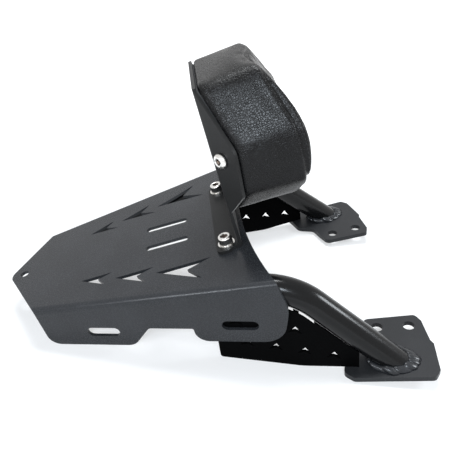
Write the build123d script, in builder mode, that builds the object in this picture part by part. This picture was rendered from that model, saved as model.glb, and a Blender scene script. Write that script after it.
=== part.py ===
"""Luggage rack with a padded backrest for a motorcycle.

A folded sheet deck stands on two bent tube arms with perforated gussets and bolt-on feet.
A folded bracket on the deck carries the backrest cushion.

+X points to the front of the motorcycle, +Y to the left and +Z up. The origin is the centre
between the two front foot bolts, on the underside of the feet. Lengths are in millimetres
and angles in degrees.
"""

import math
import os

from build123d import *

os.makedirs("parts", exist_ok=True)

# Clearances
fit_gap = 0.1                # between welded or clamped faces that curve
tube_side_gap = 0.5          # between the arm tube and the flange beside it
soft_gap = 0.3               # round the cushion
thread_gap = 0.1             # round a screw in its nut

# Deck sheet, measured in the plane of the deck
sheet = 3.2                  # thickness of the deck and of the backrest bracket
deck_pitch = 8.17            # rise of the deck towards the front
deck_front_x = -147.2        # middle of the front edge
deck_front_z = 106.3
deck_length = 207.5          # front edge to the tail corners
deck_front_half = 117.5      # half width at the front
flange_taper = 13.66         # the sides close towards the tail
front_sweep = 18.4           # the front corners lie ahead of the deck's origin
front_middle = 1.2           # and so does the middle of the front edge
bend_outer = 6.0             # outer radius of the long folds
tail_hole_back = 230.0       # front edge to the hole in the tail
tail_hole_d = 9.0
tail_nose_r = 13.5

# Side flanges, measured in the plane of the flange from the front of the fold
rear_lobe_drop = 73.5
rear_lobe_front = -121.0
rear_edge_lean = 4.5
notch_rear = -103.0
notch_front = -60.5
notch_drop = 50.8
front_lobe_drop = 66.6
front_bulge = 27.0
front_bulge_drop = 27.0
front_foot = 20.5
slot_width = 10.7
rear_slot_at = -148.0
rear_slot_drop = 56.2
rear_slot_length = 31.9
front_slot_at = -17.4
front_slot_drop = 46.3
front_slot_length = 33.3

# Chevron cut-outs in the deck: tip of each, and its scale
chevron_reach = 31.4
chevron_wing_back = 25.5
chevron_wing = 15.3
chevron_neck_back = 17.8
chevron_neck = 5.0
chevron_heel = 0.6
chevron_tips = ((-162.9, 41.0), (-127.6, 51.3), (-87.1, 60.7))
chevron_scales = (1.0, 1.22, 1.70)

# Lightening slots in the middle of the deck
mid_slot_at = -76.0
mid_slot_half_spread = 17.0
mid_slot_length = 44.0
mid_slot_width = 8.0

# Arm tubes
tube_r = 12.7
tube_wall = 2.0
tube_run = 85.0              # straight length behind the front edge of the deck
tube_cap = 3.0               # closed rear end
tube_corner_ahead = 23.6     # corner of the centre line ahead of the front edge
tube_leg_angle = 44.2        # slope of the leg
tube_bend_r = 64.0

# Gussets, measured in the plane of the flange
gusset_t = 3.2
gusset_rear = -41.0
gusset_rear_drop = 90.5
gusset_heel = 35.0           # where the lower edge turns level
gusset_nose = 86.0
gusset_nose_r = 3.0
slit_depth = 2.0             # open stretches between the welds to the tube
slit_spans = ((23.2, 29.6), (34.3, 47.0))
arrow_half = 6.6
arrow_height = 8.4
arrow_notch = 2.6
arrow_tilt = -8.0
arrow_step = (25.85, -4.95)
lower_row_tip = (12.6, -71.8)
lower_row_range = (-1, 3)
upper_row_tip = (5.0, -45.2)
upper_row_range = (-1, 2)

# Feet
foot_t = 5.0
foot_hole_d = 11.5
front_hole_half = 89.75      # the two front bolt holes are this far from the middle
rear_hole_back = 30.3
rear_hole_half = 85.3
weld_reach = 6.5
weld_height = 5.5

# Backrest bracket, measured in the plane of the deck and square to it
bracket_back = 5.9           # rear face of the upright behind the front edge
base_rear = 27.0
base_half = 61.5
base_corner_r = 6.0
bracket_bend_outer = 5.5
neck_half = 58.0
neck_height = 37.0
top_half = 40.0
top_height = 149.0
wing_angle = 38.0
wing_low = (25.8, 19.5)
wing_high = (31.0, 60.0)
wing_low_r = 4.0
wing_high_r = 18.0
wing_fold_outer = 5.0
deck_screw_back = 16.85
deck_screw_half = 50.8
pad_screw_out = 11.8
pad_screw_up = 52.6

# Cushion and its board
board_t = 6.0
board_inset = 4.0
pad_set_forward = 1.5        # rear edge of the cover ahead of the bracket
pad_bottom = 38.0
pad_bottom_half = 56.0
pad_low_half = 74.5
pad_high_half = 72.0
pad_top_half = 42.0
pad_top_height = 150.5
pad_low_share = 0.204        # heights as shares of the way from the bottom to the top
pad_high_share = 0.56
pad_depth_top = 46.5         # reach of the front face ahead of the deck's front edge
pad_depth_upper = 62.5
pad_depth_mid = 71.5
pad_depth_lower = 69.0
pad_depth_bottom = 57.0
pad_upper_share = 0.782
pad_mid_share = 0.533
pad_lower_share = 0.284
pad_edge_r = 6.0

# Fasteners
screw_d = 8.0
hole_d = 9.0
head_d = 13.0
head_h = 8.0
socket_flats = 6.0
socket_depth = 4.0
head_bevel = 0.8
button_d = 14.0
button_h = 4.4
button_round = 3.4
button_flats = 5.0
button_depth = 2.6
washer_d = 16.0
washer_t = 1.6
nut_flats = 13.0
nut_h = 6.5
deck_screw_length = 20.0
pad_screw_length = 16.0
tee_barrel_d = 10.0
tee_flange_d = 15.0
tee_flange_t = 1.5


def rad(angle):
    """Give an angle in radians."""
    return math.radians(angle)


def pad_level(share):
    """Give the height on the cushion at this share of the way up."""
    return pad_bottom + share * (pad_top_height - pad_bottom)


# The deck plane: local x runs forward along the deck, y to the left and z square to it
pitch_cos = math.cos(rad(deck_pitch))
pitch_sin = math.sin(rad(deck_pitch))
taper_tan = math.tan(rad(flange_taper))
deck_forward = Vector(pitch_cos, 0, pitch_sin)
deck_up = Vector(-pitch_sin, 0, pitch_cos)
deck_plane = Plane(
    origin=(deck_front_x, 0, deck_front_z), x_dir=deck_forward, z_dir=deck_up
)

# The left flange plane: local x is level and runs forward, y runs up, z points inwards
flange_along = (
    deck_forward * math.cos(rad(flange_taper))
    + Vector(0, 1, 0) * math.sin(rad(flange_taper))
)
flange_out = (
    Vector(0, 1, 0) * math.cos(rad(flange_taper))
    - deck_forward * math.sin(rad(flange_taper))
)
flange_level = Vector(flange_out.Y, -flange_out.X, 0).normalized()
flange_origin = deck_plane.from_local_coords(Vector(0, deck_front_half, 0))
flange_plane = Plane(origin=flange_origin, x_dir=flange_level, z_dir=flange_out * -1)


def flange_point(ahead, drop=0.0):
    """Give a point on the flange plane, from its place ahead and its drop in the deck plane."""
    point = Vector(ahead, deck_front_half + ahead * taper_tan, -drop)
    local = flange_plane.to_local_coords(deck_plane.from_local_coords(point))
    return (local.X, local.Y)


def shift(point, across, up):
    """Move a flat point."""
    return (point[0] + across, point[1] + up)


def near(items, point):
    """Give the item whose centre lies nearest to a point."""
    return items.sort_by_distance(point)[0]


# Rack deck: one sheet, folded down along both sides
spare = 30.0                 # how far the blank reaches past its trimmed edges
skirt = rear_lobe_drop + spare
tail_half = deck_front_half - deck_length * taper_tan
side_inset = sheet / math.cos(rad(flange_taper))
tail_fold = flange_point(-deck_length, bend_outer)
flange_outline = [
    flange_point(front_sweep),
    flange_point(front_sweep, bend_outer),
    (front_bulge, -front_bulge_drop),
    (front_foot, -front_lobe_drop),
    (notch_front, -front_lobe_drop),
    (notch_front, -notch_drop),
    (notch_rear, -notch_drop),
    (rear_lobe_front, -rear_lobe_drop),
    (tail_fold[0] + rear_edge_lean, -rear_lobe_drop),
    tail_fold,
    flange_point(-deck_length),
]
flange_radii = {2: 35.0, 3: 22.0, 4: 13.0, 5: 2.0, 6: 5.0, 7: 14.0, 8: 12.0}

# The tail narrows in two straight edges to a nose round the hole
tail_reach = math.hypot(tail_hole_back - deck_length, tail_half)
nose_turn = math.atan2(tail_half, tail_hole_back - deck_length)
nose_turn = nose_turn + math.acos(tail_nose_r / tail_reach)
nose_start = (
    -tail_hole_back + tail_nose_r * math.cos(nose_turn),
    tail_nose_r * math.sin(nose_turn),
)


def chevron(tip, scale, side):
    """Give the corners of one arrow-shaped cut-out that points to the tail."""
    x, y = tip
    return [
        (x, side * y),
        (x + chevron_wing_back * scale, side * (y + chevron_wing * scale)),
        (x + chevron_neck_back * scale, side * (y + chevron_neck * scale)),
        (x + chevron_reach * scale, side * (y - chevron_heel * scale)),
    ]


def folded_block(inner, top, radius):
    """Give a block with the plan of the blank and rounded long edges."""
    front = deck_front_half + (front_sweep + spare) * taper_tan - inner
    rear = tail_half - 2 * spare * taper_tan - inner
    with BuildPart() as block:
        with BuildSketch(deck_plane.offset(-top)):
            with BuildLine():
                Polyline(
                    (front_sweep + spare, front),
                    (front_sweep + spare, -front),
                    (-deck_length - 2 * spare, -rear),
                    (-deck_length - 2 * spare, rear),
                    close=True,
                )
            make_face()
        extrude(amount=-skirt)
        for side in (1, -1):
            edge = Vector(
                (front_sweep - deck_length - spare) / 2, side * (front + rear) / 2, -top
            )
            fillet(near(block.edges(), deck_plane.from_local_coords(edge)), radius)
    return block.part


with BuildPart() as rack_deck:
    add(folded_block(0, 0, bend_outer))
    add(folded_block(side_inset, sheet, bend_outer - sheet), mode=Mode.SUBTRACT)
    with BuildSketch(deck_plane.offset(spare)):
        with Locations((-deck_length / 2, 0)):
            Rectangle(3 * deck_length, 6 * deck_front_half)
        with BuildLine():
            corner_half = deck_front_half + front_sweep * taper_tan
            ThreePointArc(
                (front_sweep, corner_half), (front_middle, 0), (front_sweep, -corner_half)
            )
            Polyline(
                (front_sweep, -corner_half),
                (front_sweep, -corner_half - spare),
                (-deck_length, -tail_half - spare),
                (-deck_length, -tail_half),
                (nose_start[0], -nose_start[1]),
            )
            ThreePointArc(
                (nose_start[0], -nose_start[1]),
                (-tail_hole_back - tail_nose_r, 0),
                nose_start,
            )
            Polyline(
                nose_start,
                (-deck_length, tail_half),
                (-deck_length, tail_half + spare),
                (front_sweep, corner_half + spare),
                (front_sweep, corner_half),
            )
        make_face(mode=Mode.SUBTRACT)
    extrude(amount=-spare - bend_outer, mode=Mode.SUBTRACT)
    with BuildSketch(flange_plane.offset(-spare)) as flange_sketch:
        with BuildLine():
            Polyline(*flange_outline, close=True)
        make_face()
        for index, radius in flange_radii.items():
            fillet(near(flange_sketch.vertices(), Vector(*flange_outline[index])), radius)
        with Locations((rear_slot_at, -rear_slot_drop)):
            SlotOverall(rear_slot_length, slot_width, mode=Mode.SUBTRACT)
        with Locations((front_slot_at, -front_slot_drop)):
            SlotOverall(front_slot_length, slot_width, mode=Mode.SUBTRACT)
        flange_shape = flange_sketch.sketch_local
        with BuildLine(mode=Mode.PRIVATE) as fold_line:
            Polyline(
                flange_point(3 * spare, bend_outer),
                flange_point(3 * spare, 2 * skirt),
                flange_point(-deck_length - 4 * spare, 2 * skirt),
                flange_point(-deck_length - 4 * spare, bend_outer),
                close=True,
            )
        add(make_face(fold_line.line, mode=Mode.PRIVATE) - flange_shape, mode=Mode.REPLACE)
    extrude(amount=spare + bend_outer, mode=Mode.SUBTRACT)
    with BuildSketch(deck_plane):
        for tip, scale in zip(chevron_tips, chevron_scales):
            with BuildLine():
                Polyline(*chevron(tip, scale, 1), close=True)
            make_face()
        with Locations((mid_slot_at, mid_slot_half_spread)):
            SlotOverall(mid_slot_length, mid_slot_width)
        with Locations((-deck_screw_back, deck_screw_half)):
            Circle(hole_d / 2)
        with Locations((-tail_hole_back, 0)):
            Circle(tail_hole_d / 2)
    extrude(amount=-2 * sheet, mode=Mode.SUBTRACT)
    split(bisect_by=Plane.XZ, keep=Keep.BOTTOM)
    mirror(about=Plane.XZ)

rack_deck.part.label = "rack_deck"
export_step(rack_deck.part, "parts/rack_deck.step")

# Arm tube: it lies in the corner under the deck, then bends down to the foot
axis_offset = sheet + fit_gap + tube_r
side_offset = sheet + tube_side_gap + tube_r
axis_origin = flange_origin - flange_out * side_offset - deck_up * axis_offset
tube_level = Vector(flange_along.X, flange_along.Y, 0).normalized()
tube_plane = Plane(
    origin=axis_origin, x_dir=tube_level, z_dir=Vector(tube_level.Y, -tube_level.X, 0)
)
axis_slope = flange_along.Z / math.hypot(flange_along.X, flange_along.Y)
leg_slope = math.tan(rad(tube_leg_angle))
axis_corner = (tube_corner_ahead, tube_corner_ahead * axis_slope)
leg_reach = (axis_corner[1] + axis_origin.Z - foot_t) / leg_slope
axis_foot = (tube_corner_ahead + leg_reach, foot_t - axis_origin.Z)
axis_end = shift(axis_foot, tube_r, -tube_r * leg_slope)
axis_start = (-tube_run, -tube_run * axis_slope)
bore_start = (-tube_run + tube_cap, (-tube_run + tube_cap) * axis_slope)
foot_centre = tube_plane.from_local_coords(Vector(*axis_foot))


def tube_solid(start, radius):
    """Give a solid bar along the arm's centre line, ending below the foot's face."""
    with BuildPart() as bar:
        with BuildLine(tube_plane) as route:
            FilletPolyline(start, axis_corner, axis_end, radius=tube_bend_r)
        with BuildSketch(Plane(origin=route.line @ 0, z_dir=route.line % 0)):
            Circle(radius)
        sweep()
    return bar.part


with BuildPart() as left_arm_tube:
    add(tube_solid(axis_start, tube_r))
    add(tube_solid(bore_start, tube_r - tube_wall), mode=Mode.SUBTRACT)
    split(bisect_by=Plane.XY.offset(foot_t), keep=Keep.TOP)

with BuildPart() as right_arm_tube:
    mirror(left_arm_tube.part, about=Plane.XZ)

left_arm_tube.part.label = "left_arm_tube"
export_step(left_arm_tube.part, "parts/left_arm_tube.step")
right_arm_tube.part.label = "right_arm_tube"
export_step(right_arm_tube.part, "parts/right_arm_tube.step")

# Gusset: a plate against the inner face of the flange, its upper edge follows the tube
gusset_plane = flange_plane.offset(sheet + fit_gap)
foot_level = (foot_t - flange_origin.Z) / gusset_plane.y_dir.Z


def on_gusset(point):
    """Give a point of the tube's plane in the gusset's plane."""
    local = gusset_plane.to_local_coords(tube_plane.from_local_coords(Vector(*point)))
    return Vector(local.X, local.Y)


def below_route(start, corner, end, drop):
    """Give the start, corner and end of a route moved down square to its two runs."""
    first = (corner - start).normalized()
    second = (end - corner).normalized()
    first_side = Vector(first.Y, -first.X)
    second_side = Vector(second.Y, -second.X)
    middle = (first_side + second_side) * (drop / (1 + first_side.dot(second_side)))
    return start + first_side * drop, corner + middle, end + second_side * drop


def along_to(a, b, x):
    """Give the point of the line from a to b at this x."""
    share = (x - a.X) / (b.X - a.X)
    return (x, a.Y + (b.Y - a.Y) * share)


gusset_side = side_offset - sheet - fit_gap - gusset_t
gusset_drop = math.sqrt((tube_r + soft_gap) ** 2 - gusset_side**2)
route_start, route_corner, route_end = below_route(
    on_gusset(axis_start), on_gusset(axis_corner), on_gusset(axis_foot), gusset_drop
)
gusset_outline = [
    along_to(route_start, route_corner, gusset_rear),
    (route_corner.X, route_corner.Y),
    along_to(route_corner, route_end, gusset_nose),
    (gusset_nose, foot_level),
    (gusset_heel, foot_level),
    (gusset_rear, -gusset_rear_drop),
]
gusset_radii = {1: tube_bend_r - gusset_drop, 4: 60.0, 5: gusset_nose_r}
arrow_cos = math.cos(rad(arrow_tilt))
arrow_sin = math.sin(rad(arrow_tilt))


def arrow(tip):
    """Give the corners of one upright arrowhead hole with a notched base."""
    flat = [
        (0, 0),
        (arrow_half, -arrow_height),
        (0, -arrow_height + arrow_notch),
        (-arrow_half, -arrow_height),
    ]
    return [
        shift(tip, x * arrow_cos - y * arrow_sin, x * arrow_sin + y * arrow_cos)
        for x, y in flat
    ]


with BuildPart() as weld_slits:
    add(tube_solid(axis_start, tube_r + soft_gap + slit_depth))
    with BuildSketch(gusset_plane):
        for slit_rear, slit_front in slit_spans:
            with Locations(((slit_rear + slit_front) / 2, -gusset_rear_drop / 2)):
                Rectangle(slit_front - slit_rear, 2 * gusset_rear_drop)
    extrude(amount=gusset_t, mode=Mode.INTERSECT)

with BuildPart() as left_gusset:
    with BuildSketch(gusset_plane) as gusset_sketch:
        with BuildLine():
            Polyline(*gusset_outline, close=True)
        make_face()
        for index, radius in gusset_radii.items():
            fillet(near(gusset_sketch.vertices(), Vector(*gusset_outline[index])), radius)
        for first, (low, high) in (
            (lower_row_tip, lower_row_range),
            (upper_row_tip, upper_row_range),
        ):
            for count in range(low, high):
                tip = shift(first, count * arrow_step[0], count * arrow_step[1])
                with BuildLine():
                    Polyline(*arrow(tip), close=True)
                make_face(mode=Mode.SUBTRACT)
    extrude(amount=gusset_t)
    add(tube_solid(axis_start, tube_r + soft_gap), mode=Mode.SUBTRACT)
    add(weld_slits.part, mode=Mode.SUBTRACT)

with BuildPart() as right_gusset:
    mirror(left_gusset.part, about=Plane.XZ)

left_gusset.part.label = "left_gusset"
export_step(left_gusset.part, "parts/left_gusset.step")
right_gusset.part.label = "right_gusset"
export_step(right_gusset.part, "parts/right_gusset.step")

# Foot plate: a bolt pad inside and a wide tongue under the arm
foot_outline = [
    (-69.5, 143.0),
    (0.0, 156.0),
    (6.5, 149.0),
    (13.6, 117.3),
    (12.0, 112.5),
    (14.0, 86.0),
    (10.8, 76.6),
    (-40.0, 71.8),
    (-46.0, 86.5),
    (-50.8, 101.5),
    (-68.5, 108.5),
    (-73.0, 124.0),
    (-77.0, 134.5),
]
foot_radii = {0: 6.0, 1: 5.0, 6: 4.5, 7: 7.0, 9: 7.0, 10: 10.0, 12: 6.0}

with BuildPart() as left_foot_plate:
    with BuildSketch() as foot_sketch:
        with BuildLine():
            Polyline(*foot_outline, close=True)
        make_face()
        for index, radius in foot_radii.items():
            fillet(near(foot_sketch.vertices(), Vector(*foot_outline[index])), radius)
        with Locations((0, front_hole_half), (-rear_hole_back, rear_hole_half)):
            Circle(foot_hole_d / 2, mode=Mode.SUBTRACT)
    extrude(amount=foot_t)

with BuildPart() as right_foot_plate:
    mirror(left_foot_plate.part, about=Plane.XZ)

left_foot_plate.part.label = "left_foot_plate"
export_step(left_foot_plate.part, "parts/left_foot_plate.step")
right_foot_plate.part.label = "right_foot_plate"
export_step(right_foot_plate.part, "parts/right_foot_plate.step")

# Weld bead round the end of the tube, on the foot
bead_along = tube_r / math.sin(rad(tube_leg_angle)) + weld_reach
bead_across = tube_r + weld_reach
bead_plane = Plane(
    origin=(foot_centre.X, foot_centre.Y, foot_t), x_dir=tube_level, z_dir=(0, 0, 1)
)

with BuildPart() as left_foot_weld:
    with BuildSketch(bead_plane):
        Ellipse(bead_along, bead_across)
    extrude(amount=weld_height, taper=40)
    add(tube_solid(axis_start, tube_r + fit_gap), mode=Mode.SUBTRACT)

with BuildPart() as right_foot_weld:
    mirror(left_foot_weld.part, about=Plane.XZ)

left_foot_weld.part.label = "left_foot_weld"
export_step(left_foot_weld.part, "parts/left_foot_weld.step")
right_foot_weld.part.label = "right_foot_weld"
export_step(right_foot_weld.part, "parts/right_foot_weld.step")

# Backrest: planes of the upright and of the left wing, whose z points to the cushion
upright_plane = Plane(
    origin=deck_plane.from_local_coords(Vector(-bracket_back, 0, 0)),
    x_dir=(0, 1, 0),
    z_dir=deck_forward,
)
side_plane = Plane(origin=deck_plane.origin, x_dir=deck_forward, z_dir=(0, -1, 0))
fold_run = math.hypot(neck_half - top_half, top_height - neck_height)
fold_up = (
    Vector(0, 1, 0) * ((top_half - neck_half) / fold_run)
    + deck_up * ((top_height - neck_height) / fold_run)
)
fold_out = (
    Vector(0, 1, 0) * ((top_height - neck_height) / fold_run)
    + deck_up * ((neck_half - top_half) / fold_run)
)
wing_out = fold_out * math.cos(rad(wing_angle)) + deck_forward * math.sin(rad(wing_angle))
wing_ahead = deck_forward * math.cos(rad(wing_angle)) - fold_out * math.sin(rad(wing_angle))
wing_plane = Plane(
    origin=upright_plane.from_local_coords(Vector(neck_half, neck_height, 0)),
    x_dir=wing_out,
    z_dir=wing_ahead,
)
panel_outline = [
    (-neck_half, neck_height),
    (neck_half, neck_height),
    (top_half, top_height),
    (-top_half, top_height),
]
wing_outline = [(0, 0), wing_low, wing_high, (0, fold_run)]
wing_radii = {1: wing_low_r, 2: wing_high_r}


def inset(outline, amount):
    """Give an outline moved inwards by this amount, corner by corner."""
    moved = []
    for index, point in enumerate(outline):
        before = Vector(*outline[index - 1])
        here = Vector(*point)
        after = Vector(*outline[(index + 1) % len(outline)])
        first = (here - before).normalized()
        second = (after - here).normalized()
        first_in = Vector(-first.Y, first.X)
        second_in = Vector(-second.Y, second.X)
        step = (first_in + second_in) * (amount / (1 + first_in.dot(second_in)))
        moved.append((here.X + step.X, here.Y + step.Y))
    return moved


base_front = bracket_back + bracket_bend_outer
shank_end = base_rear - base_corner_r

with BuildPart() as backrest_bracket:
    with BuildSketch(side_plane):
        with BuildLine():
            Polyline(
                (-shank_end, 0),
                (-bracket_back + sheet, 0),
                (-bracket_back + sheet, neck_height),
                (-bracket_back, neck_height),
                (-bracket_back, sheet),
                (-shank_end, sheet),
                close=True,
            )
        make_face()
    extrude(amount=neck_half, both=True)
    sole = deck_plane.from_local_coords(Vector(-bracket_back + sheet, 0, 0))
    fillet(near(backrest_bracket.edges(), sole), bracket_bend_outer)
    heel = deck_plane.from_local_coords(Vector(-bracket_back, 0, sheet))
    fillet(near(backrest_bracket.edges(), heel), bracket_bend_outer - sheet)
    with BuildSketch(deck_plane):
        with Locations((-(base_rear + base_front) / 2, 0)):
            RectangleRounded(base_rear - base_front, 2 * base_half, base_corner_r)
    extrude(amount=sheet)
    with BuildSketch(deck_plane):
        for side in (1, -1):
            with Locations((-deck_screw_back, side * deck_screw_half)):
                Circle(hole_d / 2)
    extrude(amount=2 * sheet, mode=Mode.SUBTRACT)
    with BuildSketch(upright_plane):
        with BuildLine():
            Polyline(*panel_outline, close=True)
        make_face()
    extrude(amount=sheet)
    with BuildSketch(wing_plane) as wing_sketch:
        with BuildLine():
            Polyline(*wing_outline, close=True)
        make_face()
        for index, radius in wing_radii.items():
            fillet(near(wing_sketch.vertices(), Vector(*wing_outline[index])), radius)
        with Locations((pad_screw_out, pad_screw_up)):
            Circle(hole_d / 2, mode=Mode.SUBTRACT)
    extrude(amount=sheet)
    mirror(about=Plane.XZ)
    fold_half = rad(wing_angle) / 2
    fold_in = deck_forward * math.cos(fold_half) - fold_out * math.sin(fold_half)
    fold_middle = wing_plane.from_local_coords(Vector(0, fold_run / 2, 0))
    fold_inner = fold_middle + fold_in * (sheet / math.cos(fold_half))
    for side in (1, -1):
        outer = Vector(fold_middle.X, side * fold_middle.Y, fold_middle.Z)
        fillet(near(backrest_bracket.edges(), outer), wing_fold_outer)
        inner = Vector(fold_inner.X, side * fold_inner.Y, fold_inner.Z)
        fillet(near(backrest_bracket.edges(), inner), wing_fold_outer - sheet)

backrest_bracket.part.label = "backrest_bracket"
export_step(backrest_bracket.part, "parts/backrest_bracket.step")

# Cushion and board: blocks that start a set distance ahead of the bracket's rear faces
right_wing_plane = Plane(
    origin=(wing_plane.origin.X, -wing_plane.origin.Y, wing_plane.origin.Z),
    x_dir=(wing_out.X, -wing_out.Y, wing_out.Z),
    z_dir=(wing_ahead.X, -wing_ahead.Y, wing_ahead.Z),
)
pad_outline = [
    (-pad_bottom_half, pad_bottom),
    (pad_bottom_half, pad_bottom),
    (pad_low_half, pad_level(pad_low_share)),
    (pad_high_half, pad_level(pad_high_share)),
    (pad_top_half, pad_top_height),
    (-pad_top_half, pad_top_height),
    (-pad_high_half, pad_level(pad_high_share)),
    (-pad_low_half, pad_level(pad_low_share)),
]
pad_radii = (12.0, 12.0, 14.0, 25.0, 14.0, 14.0, 25.0, 14.0)
board_start = sheet + fit_gap
board_end = board_start + board_t


def block_ahead(outline, radii, start):
    """Give a block with this outline, cut to start this far ahead of the rear faces."""
    with BuildPart() as block:
        with BuildSketch(upright_plane) as block_sketch:
            with BuildLine():
                Polyline(*outline, close=True)
            make_face()
            for point, radius in zip(outline, radii):
                fillet(near(block_sketch.vertices(), Vector(*point)), radius)
        extrude(amount=1.5 * pad_depth_mid)
        split(bisect_by=upright_plane.offset(start), keep=Keep.TOP)
        split(bisect_by=wing_plane.offset(start), keep=Keep.TOP)
        split(bisect_by=right_wing_plane.offset(start), keep=Keep.TOP)
    return block.part


board_outline = inset(pad_outline, board_inset)
board_radii = [radius - board_inset for radius in pad_radii]
recess_outline = inset(pad_outline, board_inset - soft_gap)
recess_radii = [radius - board_inset + soft_gap for radius in pad_radii]
nut_plane = Plane(
    origin=wing_plane.from_local_coords(Vector(pad_screw_out, pad_screw_up, 0)),
    x_dir=wing_plane.y_dir,
    z_dir=wing_ahead,
)


def bore_pair(radius, start, end):
    """Give the two round spaces on the pad screws' axes, from the wings' rear faces."""
    with BuildPart() as bores:
        with BuildSketch(nut_plane.offset(start)):
            Circle(radius)
        extrude(amount=end - start)
        mirror(about=Plane.XZ)
    return bores.part


with BuildPart() as backrest_board:
    add(block_ahead(board_outline, board_radii, board_start))
    add(block_ahead(recess_outline, recess_radii, board_end), mode=Mode.SUBTRACT)
    add(bore_pair(tee_barrel_d / 2 + fit_gap, 0, 2 * board_end), mode=Mode.SUBTRACT)

backrest_board.part.label = "backrest_board"
export_step(backrest_board.part, "parts/backrest_board.step")

pad_floor = pad_bottom - soft_gap
pad_roof = pad_top_height + soft_gap
flange_space = board_end + tee_flange_t + soft_gap
screw_space = pad_screw_length + soft_gap

with BuildPart() as backrest_pad:
    add(block_ahead(pad_outline, pad_radii, sheet + pad_set_forward))
    with BuildSketch(side_plane):
        with BuildLine():
            Spline(
                (pad_depth_bottom, pad_floor),
                (pad_depth_lower, pad_level(pad_lower_share)),
                (pad_depth_mid, pad_level(pad_mid_share)),
                (pad_depth_upper, pad_level(pad_upper_share)),
                (pad_depth_top, pad_roof),
            )
            Polyline(
                (pad_depth_top, pad_roof),
                (-base_rear, pad_roof),
                (-base_rear, pad_floor),
                (pad_depth_bottom, pad_floor),
            )
        make_face()
    extrude(amount=2 * pad_low_half, both=True, mode=Mode.INTERSECT)
    front_face = backrest_pad.faces().sort_by(Axis(deck_plane.origin, deck_forward))[-1]
    fillet(front_face.edges(), pad_edge_r)
    with BuildPart(mode=Mode.SUBTRACT):
        add(block_ahead(recess_outline, recess_radii, 0))
        add(block_ahead(pad_outline, pad_radii, board_end + soft_gap), mode=Mode.SUBTRACT)
    add(bore_pair(tee_flange_d / 2 + soft_gap, 0, flange_space), mode=Mode.SUBTRACT)
    add(bore_pair(hole_d / 2, 0, screw_space), mode=Mode.SUBTRACT)

backrest_pad.part.label = "backrest_pad"
export_step(backrest_pad.part, "parts/backrest_pad.step")


# Fasteners: each is drawn on its seat, whose z points from the seat out of the head
def screw_blank(seat, head, height, length):
    """Give a screw with a plain round head that sits on a seat."""
    with BuildPart() as blank:
        with BuildSketch(seat):
            Circle(head / 2)
        extrude(amount=height)
        with BuildSketch(seat):
            Circle(screw_d / 2)
        extrude(amount=-length)
        tip = blank.edges().sort_by(Axis(seat.origin, seat.z_dir))[0]
        chamfer(tip, head_bevel)
    return blank.part


def socket_screw(seat):
    """Give a socket head screw of the deck."""
    with BuildPart() as screw:
        add(screw_blank(seat, head_d, head_h, deck_screw_length))
        rim = screw.edges().sort_by(Axis(seat.origin, seat.z_dir))[-1]
        chamfer(rim, head_bevel)
        with BuildSketch(seat.offset(head_h)):
            RegularPolygon(socket_flats / 2, 6, major_radius=False)
        extrude(amount=-socket_depth, mode=Mode.SUBTRACT)
    return screw.part


def button_screw(seat):
    """Give a domed screw of the cushion."""
    with BuildPart() as screw:
        add(screw_blank(seat, button_d, button_h, pad_screw_length))
        rim = screw.edges().sort_by(Axis(seat.origin, seat.z_dir))[-1]
        fillet(rim, button_round)
        with BuildSketch(seat.offset(button_h)):
            RegularPolygon(button_flats / 2, 6, major_radius=False)
        extrude(amount=-button_depth, mode=Mode.SUBTRACT)
    return screw.part


def washer(seat):
    """Give a flat washer that lies on a seat."""
    with BuildPart() as ring:
        with BuildSketch(seat):
            Circle(washer_d / 2)
            Circle(screw_d / 2 + 2 * thread_gap, mode=Mode.SUBTRACT)
        extrude(amount=washer_t)
    return ring.part


def hex_nut(seat):
    """Give a hexagon nut that lies on a seat."""
    with BuildPart() as nut:
        with BuildSketch(seat):
            RegularPolygon(nut_flats / 2, 6, major_radius=False)
            Circle(screw_d / 2 + thread_gap, mode=Mode.SUBTRACT)
        extrude(amount=nut_h)
    return nut.part


def deck_seat(height, up):
    """Give the left deck screw's plane at a height over the deck, facing up or down."""
    place = deck_plane.from_local_coords(Vector(-deck_screw_back, deck_screw_half, height))
    return Plane(origin=place, x_dir=deck_forward, z_dir=deck_up * up)


with BuildPart() as left_deck_washer:
    add(washer(deck_seat(sheet, 1)))
left_deck_washer.part.label = "left_deck_washer"

with BuildPart() as left_deck_screw:
    add(socket_screw(deck_seat(sheet + washer_t, 1)))
left_deck_screw.part.label = "left_deck_screw"

with BuildPart() as left_under_washer:
    add(washer(deck_seat(-sheet, -1)))
left_under_washer.part.label = "left_under_washer"

with BuildPart() as left_deck_nut:
    add(hex_nut(deck_seat(-sheet - washer_t, -1)))
left_deck_nut.part.label = "left_deck_nut"

with BuildPart() as left_pad_screw:
    add(button_screw(Plane(nut_plane.origin, nut_plane.x_dir, wing_ahead * -1)))
left_pad_screw.part.label = "left_pad_screw"

with BuildPart() as left_tee_nut:
    with BuildSketch(nut_plane.offset(board_start)):
        Circle(tee_barrel_d / 2)
        Circle(screw_d / 2 + thread_gap, mode=Mode.SUBTRACT)
    extrude(amount=board_t)
    with BuildSketch(nut_plane.offset(board_end)):
        Circle(tee_flange_d / 2)
        Circle(screw_d / 2 + thread_gap, mode=Mode.SUBTRACT)
    extrude(amount=tee_flange_t)
left_tee_nut.part.label = "left_tee_nut"

for left_piece in (
    left_deck_washer,
    left_deck_screw,
    left_under_washer,
    left_deck_nut,
    left_pad_screw,
    left_tee_nut,
):
    left_name = left_piece.part.label
    export_step(left_piece.part, f"parts/{left_name}.step")
    with BuildPart() as right_piece:
        mirror(left_piece.part, about=Plane.XZ)
    right_name = left_name.replace("left", "right")
    right_piece.part.label = right_name
    export_step(right_piece.part, f"parts/{right_name}.step")
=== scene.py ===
"""Dressing of a motorcycle luggage rack with a padded backrest.

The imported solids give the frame. This script gives each of them its coat, sews the cushion,
turns the screws with their knurled heads, lays the weld beads and sets up the light.
Everything is in metres, with +X to the front of the motorcycle, +Y to its left and +Z up.
"""

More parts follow.
